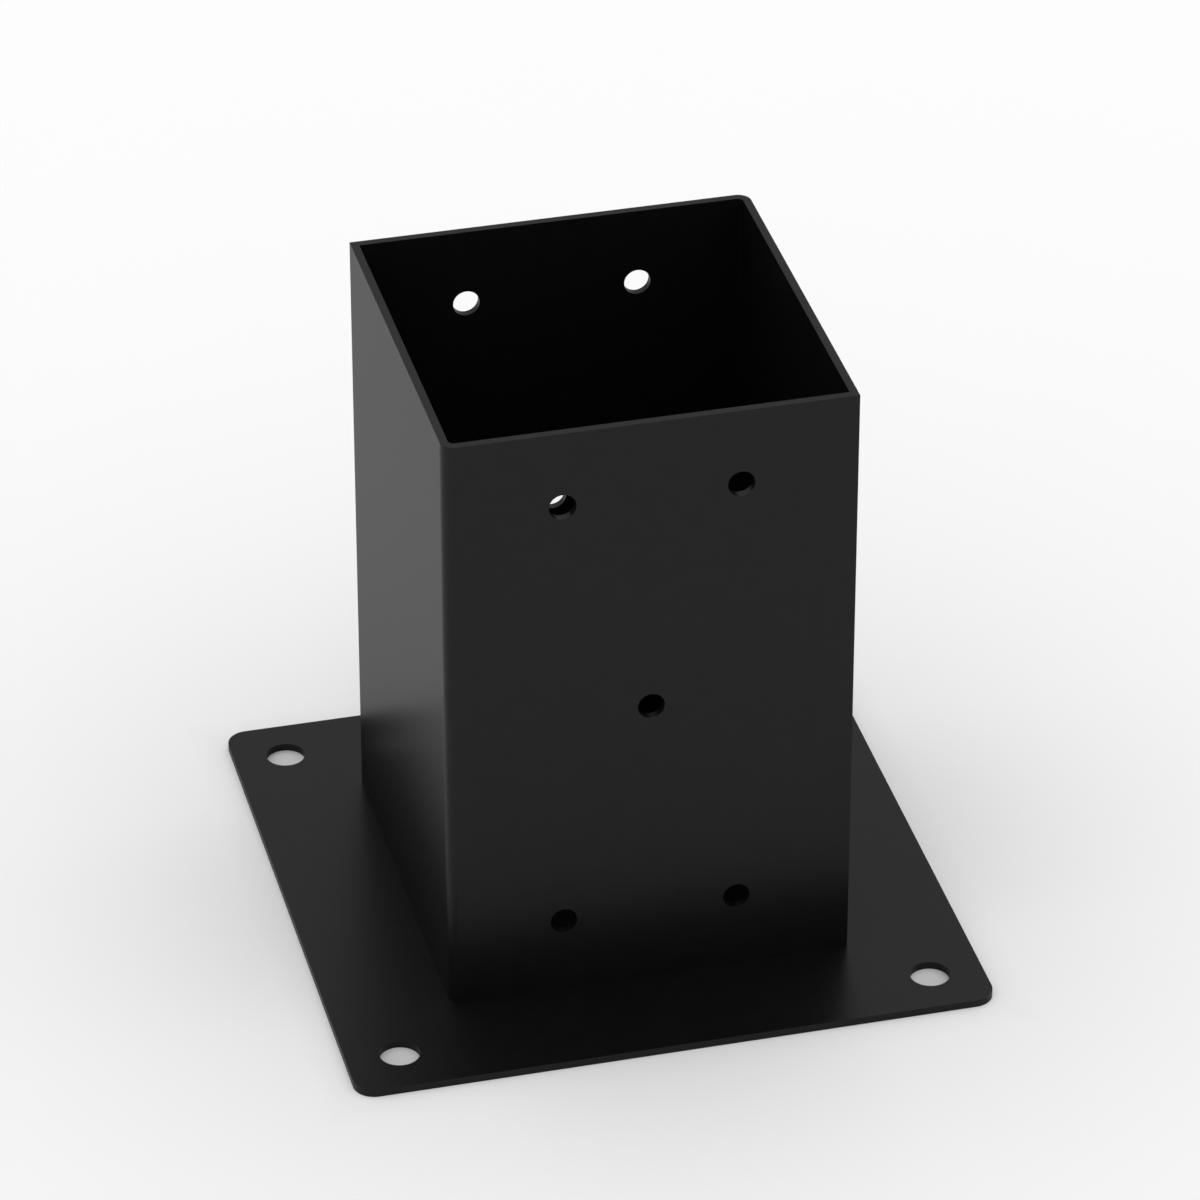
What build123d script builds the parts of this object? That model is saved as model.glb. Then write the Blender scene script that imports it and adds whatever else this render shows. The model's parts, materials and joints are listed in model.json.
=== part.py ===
from build123d import *
import os

# A steel bracket that holds the foot of a square timber post above a concrete slab.
# A flat plate is anchored to the slab, and an open-topped square sleeve stands on it.
# +Z is up, -Y is the front. The origin is the centre of the plate's underside.
# All sizes are in millimetres.

# Base plate
plate_side = 240.0
plate_thickness = 3.0
plate_corner_radius = 8.0
anchor_hole_diameter = 15.0
anchor_hole_edge_distance = 20.0

# Sleeve, made of two equal folded angles
bracket_height = 240.0
socket_side = 144.6
wall_thickness = 3.0
bend_inner_radius = 2.0

# Screw holes in the front and back walls, laid out like the five on a die
side_hole_diameter = 10.0
side_hole_column_spacing = 65.0
side_hole_end_distance = 30.0

# Welds: seams at the two unfolded corners, ground flush, and beads inside the foot
seam_root_face = 1.0
foot_weld_leg = 2.0
foot_weld_crown = 0.3
foot_weld_length = 80.0

# Places and sizes that follow from the ones above
anchor_hole_spacing = plate_side - 2 * anchor_hole_edge_distance
socket_half = socket_side / 2
sleeve_half = socket_half + wall_thickness
sleeve_height = bracket_height - plate_thickness
bend_outer_radius = bend_inner_radius + wall_thickness
side_hole_row_spacing = sleeve_height - 2 * side_hole_end_distance
seam_weld_depth = wall_thickness - seam_root_face


def base_plate() -> Part:
    """Flat plate with rounded corners and one anchor hole in each."""
    with BuildPart() as plate:
        with BuildSketch():
            RectangleRounded(plate_side, plate_side, plate_corner_radius)
            with GridLocations(anchor_hole_spacing, anchor_hole_spacing, 2, 2):
                Circle(anchor_hole_diameter / 2, mode=Mode.SUBTRACT)
        extrude(amount=plate_thickness)
    return plate.part


def sleeve_angle() -> Part:
    """Sheet folded once, at the front left corner.

    Its front flange spans the whole sleeve and carries the screw holes. Its left flange is one wall
    shorter, because it butts on the inside of the back wall, and its end is bevelled for the seam.
    """
    outer_bend = (-sleeve_half, -sleeve_half)
    inner_bend = (-socket_half, -socket_half)
    with BuildPart() as angle:
        with BuildSketch(Plane.XY.offset(plate_thickness)) as plan:
            with BuildLine():
                Polyline(
                    outer_bend,
                    (sleeve_half, -sleeve_half),
                    (sleeve_half, -socket_half),
                    inner_bend,
                    (-socket_half, socket_half),
                    (-sleeve_half + seam_weld_depth, socket_half),
                    (-sleeve_half, socket_half - seam_weld_depth),
                    close=True,
                )
            make_face()
            fillet(plan.vertices().sort_by_distance(outer_bend)[0], bend_outer_radius)
            fillet(plan.vertices().sort_by_distance(inner_bend)[0], bend_inner_radius)
        extrude(amount=sleeve_height)

        middle = plate_thickness + sleeve_height / 2
        front_face = Plane((0, -sleeve_half, middle), x_dir=(1, 0, 0), z_dir=(0, -1, 0))
        with BuildSketch(front_face):
            Circle(side_hole_diameter / 2)
            with GridLocations(side_hole_column_spacing, side_hole_row_spacing, 2, 2):
                Circle(side_hole_diameter / 2)
        extrude(amount=-wall_thickness, mode=Mode.SUBTRACT)
    return angle.part


def seam_weld() -> Part:
    """Weld metal that fills the bevel at the back left corner, flush with the wall outside."""
    with BuildPart() as seam:
        with BuildSketch(Plane.XY.offset(plate_thickness)):
            with BuildLine():
                Polyline(
                    (-sleeve_half, socket_half),
                    (-sleeve_half, socket_half - seam_weld_depth),
                    (-sleeve_half + seam_weld_depth, socket_half),
                    close=True,
                )
            make_face()
        extrude(amount=sleeve_height)
    return seam.part


def foot_weld() -> Part:
    """Convex fillet bead along the foot of the front wall, inside the sleeve, with rounded ends."""
    half_run = foot_weld_length / 2 - foot_weld_leg
    with BuildPart() as bead:
        for side in (-1, 1):
            end_root = (side * half_run, -socket_half, plate_thickness)
            section_plane = Plane(end_root, x_dir=(0, 1, 0), z_dir=(side, 0, 0))
            up = side * foot_weld_leg
            with BuildSketch(section_plane) as section:
                with BuildLine():
                    Line((0, 0), (foot_weld_leg, 0))
                    SagittaArc((foot_weld_leg, 0), (0, up), -side * foot_weld_crown)
                    Line((0, up), (0, 0))
                make_face()
            extrude(amount=-half_run)
            revolve(section.sketch, axis=Axis(end_root, (0, 0, 1)), revolution_arc=-side * 90)
    return bead.part


def build_bracket() -> dict[str, Part]:
    """All the pieces in place, by name."""
    angle = sleeve_angle()
    seam = seam_weld()
    bead = foot_weld()
    return {
        "base_plate": base_plate(),
        "front_left_angle": angle,
        "back_right_angle": angle.rotate(Axis.Z, 180),
        "back_left_seam_weld": seam,
        "front_right_seam_weld": seam.rotate(Axis.Z, 180),
        "front_foot_weld": bead,
        "right_foot_weld": bead.rotate(Axis.Z, 90),
        "back_foot_weld": bead.rotate(Axis.Z, 180),
        "left_foot_weld": bead.rotate(Axis.Z, 270),
    }


os.makedirs("parts", exist_ok=True)
for name, piece in build_bracket().items():
    export_step(piece, f"parts/{name}.step")
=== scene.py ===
import bmesh
import bpy
import json
from math import cos, pi, radians, sin
from mathutils import Matrix, Vector


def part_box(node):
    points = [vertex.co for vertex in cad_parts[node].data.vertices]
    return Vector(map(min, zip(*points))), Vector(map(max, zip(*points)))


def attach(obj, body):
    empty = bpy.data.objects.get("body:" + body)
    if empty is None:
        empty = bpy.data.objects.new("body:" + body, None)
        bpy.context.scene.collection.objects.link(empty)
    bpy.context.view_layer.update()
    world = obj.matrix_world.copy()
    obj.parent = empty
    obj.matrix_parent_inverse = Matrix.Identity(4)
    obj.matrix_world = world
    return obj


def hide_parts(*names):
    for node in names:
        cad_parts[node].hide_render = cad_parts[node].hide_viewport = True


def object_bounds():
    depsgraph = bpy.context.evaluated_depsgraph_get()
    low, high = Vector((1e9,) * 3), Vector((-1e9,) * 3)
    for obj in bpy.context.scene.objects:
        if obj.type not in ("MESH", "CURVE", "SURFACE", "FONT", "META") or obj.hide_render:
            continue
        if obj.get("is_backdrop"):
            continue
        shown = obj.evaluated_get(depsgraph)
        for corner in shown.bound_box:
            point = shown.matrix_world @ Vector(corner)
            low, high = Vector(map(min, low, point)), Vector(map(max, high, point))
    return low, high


# A folded and welded steel post bracket in black powder coat, on a pale studio floor.
# Metres; +Z is up and the bracket's front faces -Y.

MM_PER_METRE = 1000.0
QUARTER_TURN = pi / 2

# Camera, measured from the photograph's perspective
VIEW_AZIMUTH = radians(-14.17)
VIEW_ELEVATION = radians(32.48)
VIEW_DISTANCE = 2.4542
VIEW_REACH = 100.0
FOCAL_LENGTH_MM = 200.2
SENSOR_MM = 36.0

# Sky: white, and brighter overhead than at the horizon. With the square as its power, the horizon and
# half the gain add up to the light on the open floor, which is 1.
SKY_HORIZON = 0.7
SKY_OVERHEAD_GAIN = 0.6
SKY_GAIN_POWER = 2.0

# Floor: a pale matt sheet with painted shadow in its colour. It darkens gently towards the bracket,
# more along the plate's edge, and most where it shows through the plate's holes, under the plate
FLOOR_HALF_SIZE = 30.0
FLOOR_ROUGHNESS = 1.0
FLOOR_SPECULAR = 0.0
FLOOR_FAR_SHADE = 1.0
FLOOR_PAINTED_SHADOW = 0.0111
FLOOR_PAINTED_SHADOW_FROM = 0.1
PAINTED_CONTACT_SHADOW = 0.955
PAINTED_CONTACT_SHADOW_WIDTH = 0.014
PAINTED_UNDER_PLATE_SHADOW = 0.72
UNDER_PLATE_INSET = 0.003
PLATE_CORNER = 0.008
FLOOR_TUCK = 0.0001
FLOOR_CORNER_STEPS = 12
FLOOR_HOLE_SIDES = 96

# Powder coat: a matt black body under a thin, satin skin that matting agents keep from full gloss
BODY_SHADE = (0.0040, 0.0050)
BODY_ROUGHNESS = (0.55, 0.65)
BODY_SPECULAR = 0.0
SKIN_WEIGHT = 0.50
SKIN_IOR = 1.43
SKIN_ROUGHNESS = 0.32
PEEL_PITCH = 0.0014
PEEL_HEIGHT = 0.000008
GRAIN_PITCH = 0.0003
GRAIN_HEIGHT = 0.0000015
RELIEF_DETAIL = 1.0
PATCH_PITCH = 0.006
PATCH_DETAIL = 3.0
NOISE_LOW = 0.3
NOISE_HIGH = 0.7

# Weld beads inside the foot: convex, with round ends and curved ripples
BEAD_TURNS = {"front": 0, "right": 1, "back": 2, "left": 3}
BEAD_CROWN = 0.0003
BEAD_STEP = 0.00025
BEAD_SECTION_STEPS = 10
BEAD_END_STEPS = 10
RIPPLE_PITCH = 0.0016
RIPPLE_BOW = 0.0009
RIPPLE_DEPTH = 0.13
SAME_POINT = 0.000001


def camera():
    """Long lens aimed at the middle of the bracket's height."""
    low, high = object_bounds()
    target = Vector((0.0, 0.0, (low[2] + high[2]) / 2))
    away = Vector((
        sin(VIEW_AZIMUTH) * cos(VIEW_ELEVATION),
        -cos(VIEW_AZIMUTH) * cos(VIEW_ELEVATION),
        sin(VIEW_ELEVATION),
    ))
    data = bpy.data.cameras.new("camera")
    data.lens = FOCAL_LENGTH_MM
    data.sensor_width = SENSOR_MM
    data.clip_end = VIEW_REACH
    eye = bpy.data.objects.new("camera", data)
    bpy.context.scene.collection.objects.link(eye)
    eye.location = target + away * VIEW_DISTANCE
    eye.rotation_euler = away.to_track_quat("Z", "Y").to_euler()
    bpy.context.scene.camera = eye


def coordinates(tree, output="Object"):
    """Where a point of a surface is, or for the output Generated in a world, the direction looked in."""
    return tree.nodes.new("ShaderNodeTexCoord").outputs[output]


def split(tree, vector):
    """The X, Y and Z of a vector."""
    node = tree.nodes.new("ShaderNodeSeparateXYZ")
    tree.links.new(vector, node.inputs["Vector"])
    return node.outputs["X"], node.outputs["Y"], node.outputs["Z"]


def maths(tree, operation, first, second=0.0):
    """Math node on one or two inputs, each a socket or a number."""
    node = tree.nodes.new("ShaderNodeMath")
    node.operation = operation
    for socket, value in zip(node.inputs, (first, second)):
        if isinstance(value, (int, float)):
            socket.default_value = value
        else:
            tree.links.new(value, socket)
    return node.outputs["Value"]


def noise(tree, where, pitch, detail):
    """Cloudy noise whose spots are about one pitch across."""
    node = tree.nodes.new("ShaderNodeTexNoise")
    node.inputs["Scale"].default_value = 1 / pitch
    node.inputs["Detail"].default_value = detail
    tree.links.new(where, node.inputs["Vector"])
    return node.outputs["Fac"]


def spread(tree, value, start, end):
    """Maps a value onto a range, held at both ends. Start and end each pair a value with its result."""
    node = tree.nodes.new("ShaderNodeMapRange")
    node.inputs["From Min"].default_value = start[0]
    node.inputs["From Max"].default_value = end[0]
    node.inputs["To Min"].default_value = start[1]
    node.inputs["To Max"].default_value = end[1]
    tree.links.new(value, node.inputs["Value"])
    return node.outputs["Result"]


def bump(tree, height, distance, under=None):
    """Surface relief of a real depth, on top of the relief under it where there is one."""
    node = tree.nodes.new("ShaderNodeBump")
    node.inputs["Distance"].default_value = distance
    tree.links.new(height, node.inputs["Height"])
    if under is not None:
        tree.links.new(under, node.inputs["Normal"])
    return node.outputs["Normal"]


def sky():
    """White light that grows from the horizon to overhead."""
    world = bpy.data.worlds.new("sky")
    world.use_nodes = True
    tree = world.node_tree
    height = split(tree, coordinates(tree, "Generated"))[2]
    above = maths(tree, "MAXIMUM", height, 0.0)
    gain = maths(tree, "MULTIPLY", maths(tree, "POWER", above, SKY_GAIN_POWER), SKY_OVERHEAD_GAIN)
    tree.links.new(maths(tree, "ADD", gain, SKY_HORIZON), tree.nodes["Background"].inputs["Color"])
    bpy.context.scene.world = world


def floor_paint():
    """Matt white, with painted shadow: a little darker near the bracket, beside its plate and in its
    holes.
    """
    material = bpy.data.materials.new("floor")
    material.use_nodes = True
    tree = material.node_tree
    shader = tree.nodes["Principled BSDF"]
    shader.inputs["Roughness"].default_value = FLOOR_ROUGHNESS
    shader.inputs["Specular IOR Level"].default_value = FLOOR_SPECULAR

    # Painted shadow: the floor's colour darkens towards the bracket, as if in its shade
    where = coordinates(tree)
    length = tree.nodes.new("ShaderNodeVectorMath")
    length.operation = "LENGTH"
    tree.links.new(where, length.inputs[0])
    reach = maths(tree, "MAXIMUM", length.outputs["Value"], FLOOR_PAINTED_SHADOW_FROM)
    shade = maths(tree, "SUBTRACT", FLOOR_FAR_SHADE, maths(tree, "DIVIDE", FLOOR_PAINTED_SHADOW, reach))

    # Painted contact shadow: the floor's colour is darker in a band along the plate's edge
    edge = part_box("base_plate")[1][0]
    x, y, _ = split(tree, where)
    side = maths(tree, "MAXIMUM", maths(tree, "ABSOLUTE", x), maths(tree, "ABSOLUTE", y))
    contact_shadow = spread(tree, side, (edge, PAINTED_CONTACT_SHADOW), (edge + PAINTED_CONTACT_SHADOW_WIDTH, 1.0))
    # Painted shadow under the plate: the floor's colour is darker there, and it is seen through the
    # anchor holes
    outside = maths(tree, "GREATER_THAN", side, edge - UNDER_PLATE_INSET)
    under = maths(tree, "MAXIMUM", outside, PAINTED_UNDER_PLATE_SHADOW)
    shade = maths(tree, "MULTIPLY", maths(tree, "MULTIPLY", shade, contact_shadow), under)
    tree.links.new(shade, shader.inputs["Base Color"])
    return material


def plate_outline(edge):
    """Points round the plate's edge and its rounded corners, tucked in a little."""
    points = []
    for corner in range(4):
        middle = Vector((edge - PLATE_CORNER, edge - PLATE_CORNER, 0.0))
        middle.rotate(Matrix.Rotation(corner * QUARTER_TURN, 3, "Z"))
        for step in range(FLOOR_CORNER_STEPS + 1):
            turn = (corner + step / FLOOR_CORNER_STEPS) * QUARTER_TURN
            points.append(middle + (PLATE_CORNER - FLOOR_TUCK) * Vector((cos(turn), sin(turn), 0.0)))
    return points


def anchor_holes(record):
    """The radius of the plate's anchor holes and the middle of each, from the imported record."""
    mount = next(mount for mount in record["mounts"] if mount["name"] == "anchor_holes")
    sizes = mount["dims"]
    x = sizes["spacing_x_mm"] / 2 / MM_PER_METRE
    y = sizes["spacing_y_mm"] / 2 / MM_PER_METRE
    return sizes["hole_r_mm"] / MM_PER_METRE, [(-x, -y), (x, -y), (x, y), (-x, y)]


def floor(record):
    """Pale sheet that the bracket stands on, with a disc under each anchor hole.

    It is left out under the rest of the plate, so that a view from below shows the underside.
    """
    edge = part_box("base_plate")[1][0]
    outline = plate_outline(edge)
    shape = bmesh.new()
    near = [shape.verts.new(point) for point in outline]
    far = [shape.verts.new(point * FLOOR_HALF_SIZE / edge) for point in outline]
    for index in range(len(outline)):
        shape.faces.new((near[index - 1], far[index - 1], far[index], near[index]))
    radius, middles = anchor_holes(record)
    for x, y in middles:
        bmesh.ops.create_circle(
            shape,
            cap_ends=True,
            segments=FLOOR_HOLE_SIDES,
            radius=radius + FLOOR_TUCK,
            matrix=Matrix.Translation((x, y, 0.0)),
        )

    mesh = bpy.data.meshes.new("floor")
    shape.to_mesh(mesh)
    shape.free()
    sheet = bpy.data.objects.new("floor", mesh)
    bpy.context.scene.collection.objects.link(sheet)
    mesh.materials.append(floor_paint())
    sheet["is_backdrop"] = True


def powder_coat():
    """Near-black satin coat with a fine orange peel."""
    material = bpy.data.materials.new("black_powder_coat")
    material.use_nodes = True
    tree = material.node_tree
    shader = tree.nodes["Principled BSDF"]
    shader.inputs["Specular IOR Level"].default_value = BODY_SPECULAR
    shader.inputs["Coat Weight"].default_value = SKIN_WEIGHT
    shader.inputs["Coat IOR"].default_value = SKIN_IOR
    shader.inputs["Coat Roughness"].default_value = SKIN_ROUGHNESS
    where = coordinates(tree)

    patches = noise(tree, where, PATCH_PITCH, PATCH_DETAIL)
    shade = spread(tree, patches, (NOISE_LOW, BODY_SHADE[0]), (NOISE_HIGH, BODY_SHADE[1]))
    roughness = spread(tree, patches, (NOISE_LOW, BODY_ROUGHNESS[0]), (NOISE_HIGH, BODY_ROUGHNESS[1]))
    tree.links.new(shade, shader.inputs["Base Color"])
    tree.links.new(roughness, shader.inputs["Roughness"])

    peel = bump(tree, noise(tree, where, PEEL_PITCH, RELIEF_DETAIL), PEEL_HEIGHT)
    relief = bump(tree, noise(tree, where, GRAIN_PITCH, RELIEF_DETAIL), GRAIN_HEIGHT, peel)
    tree.links.new(relief, shader.inputs["Normal"])
    tree.links.new(relief, shader.inputs["Coat Normal"])
    return material


def bead_section(run, leg):
    """Points across a bead, at a place on its run: the root, then from the plate's toe to the wall's.

    Each is a reach from the wall and a height. The ripples depend on the place on the run.
    """
    points = [(0.0, 0.0)]
    for step in range(BEAD_SECTION_STEPS + 1):
        turn = step / BEAD_SECTION_STEPS * QUARTER_TURN
        swell = sin(2 * turn)
        valley = 1 - abs(cos(pi * (run - RIPPLE_BOW * swell) / RIPPLE_PITCH))
        crown = leg / (cos(turn) + sin(turn)) + BEAD_CROWN * swell
        radius = crown * (1 - RIPPLE_DEPTH * swell * valley)
        points.append((radius * cos(turn), radius * sin(turn)))
    return points


def bead(side, turns, coat):
    """Rippled weld bead in the place of its plain solid, made at the front wall and turned to its own."""
    low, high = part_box("front_foot_weld")
    leg = high[2] - low[2]
    half_run = high[0] - leg
    steps = round(2 * half_run / BEAD_STEP)
    swings = [step / BEAD_END_STEPS * QUARTER_TURN for step in range(1, BEAD_END_STEPS + 1)]
    stations = [(-half_run, -swing) for swing in reversed(swings)]
    stations += [(half_run * (2 * step / steps - 1), 0.0) for step in range(steps + 1)]
    stations += [(half_run, swing) for swing in swings]

    shape = bmesh.new()
    rings = []
    for root, swing in stations:
        ring = []
        for reach, height in bead_section(root + swing * leg / 2, leg):
            point = (root + reach * sin(swing), low[1] + reach * cos(swing), low[2] + height)
            ring.append(shape.verts.new(point))
        rings.append(ring)
    for one, two in zip(rings, rings[1:]):
        for corner in range(len(one)):
            face = shape.faces.new((one[corner], one[corner - 1], two[corner - 1], two[corner]))
            face.smooth = corner > 1
    shape.faces.new(rings[0])
    shape.faces.new(rings[-1])
    bmesh.ops.remove_doubles(shape, verts=shape.verts, dist=SAME_POINT)
    bmesh.ops.recalc_face_normals(shape, faces=shape.faces)

    mesh = bpy.data.meshes.new(f"{side}_foot_bead")
    shape.to_mesh(mesh)
    shape.free()
    mesh.transform(Matrix.Rotation(turns * QUARTER_TURN, 4, "Z"))
    mesh.materials.append(coat)
    piece = bpy.data.objects.new(f"{side}_foot_bead", mesh)
    bpy.context.scene.collection.objects.link(piece)
    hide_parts(f"{side}_foot_weld")
    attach(piece, "root")


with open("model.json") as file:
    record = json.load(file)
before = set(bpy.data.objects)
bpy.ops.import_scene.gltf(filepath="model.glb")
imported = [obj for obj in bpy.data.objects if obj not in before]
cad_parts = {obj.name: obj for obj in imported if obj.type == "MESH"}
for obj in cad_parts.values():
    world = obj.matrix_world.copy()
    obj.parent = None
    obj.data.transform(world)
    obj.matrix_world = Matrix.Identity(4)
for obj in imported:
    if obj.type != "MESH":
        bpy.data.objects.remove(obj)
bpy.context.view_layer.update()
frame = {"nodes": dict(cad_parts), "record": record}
camera()
sky()
floor(frame["record"])
coat = powder_coat()
for node in frame["nodes"].values():
    node.data.materials.clear()
    node.data.materials.append(coat)
for side, turns in BEAD_TURNS.items():
    bead(side, turns, coat)

bpy.context.scene.view_settings.view_transform = "Standard"
